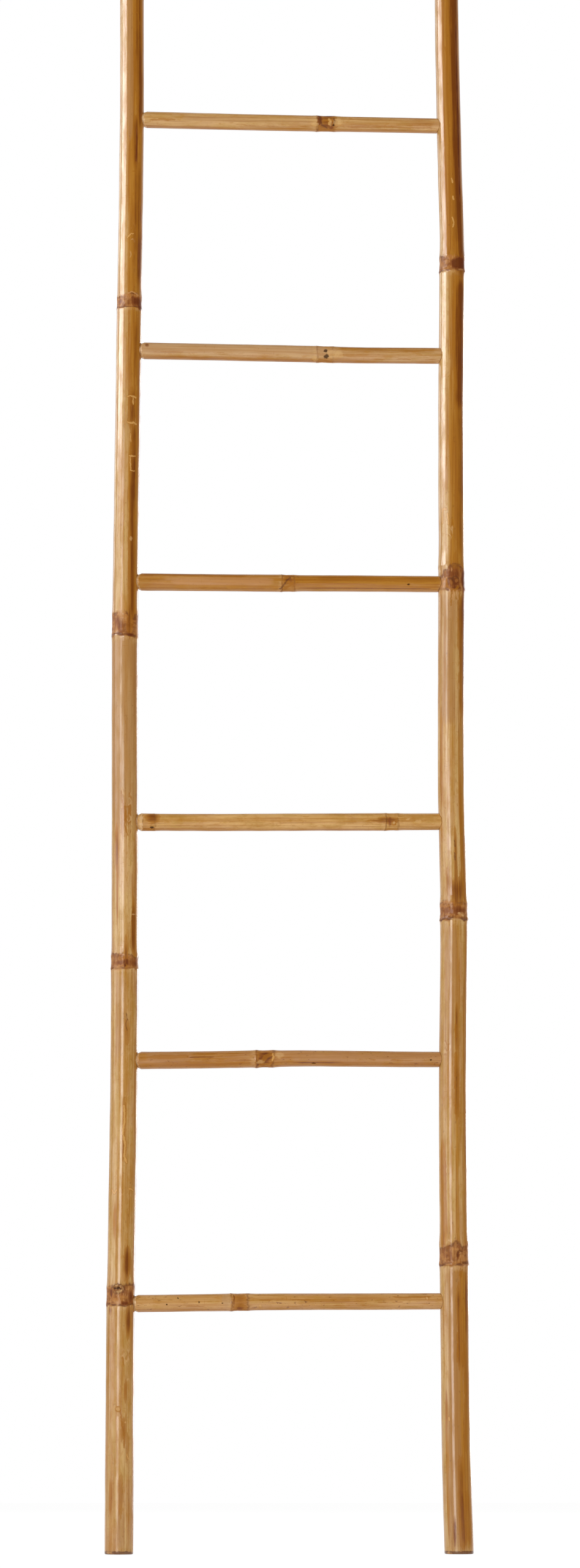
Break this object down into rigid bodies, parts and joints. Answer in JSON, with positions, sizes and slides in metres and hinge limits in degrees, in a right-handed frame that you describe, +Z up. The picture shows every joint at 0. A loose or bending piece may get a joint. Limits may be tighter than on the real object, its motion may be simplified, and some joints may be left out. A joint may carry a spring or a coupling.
{
  "type": "bamboo ladder",
  "caption": "Tall narrow ladder of two natural bamboo poles with round cane rungs let into them, for leaning on a wall and hanging towels or clothes.",
  "frame": {"origin": "on the floor, midway between the middles of the two feet", "axes": "+X to the right of someone facing the ladder, +Y away from them towards the wall, +Z up the ladder"},
  "size_m": [0.4536, 0.0394, 2],
  "materials": {
    "rail_bamboo": "varnished natural bamboo, semi-gloss",
    "rung_bamboo": "varnished natural cane, satin",
    "nail_steel": "plain bright steel"
  },
  "bodies": {
    "root": {"left_rail": "rail_bamboo", "right_rail": "rail_bamboo", "rung_1": "rung_bamboo", "rung_2": "rung_bamboo", "rung_3": "rung_bamboo", "rung_4": "rung_bamboo", "rung_5": "rung_bamboo", "rung_6": "rung_bamboo", "left_rail_nails": "nail_steel", "right_rail_nails": "nail_steel"}
  },
  "joints": []
}
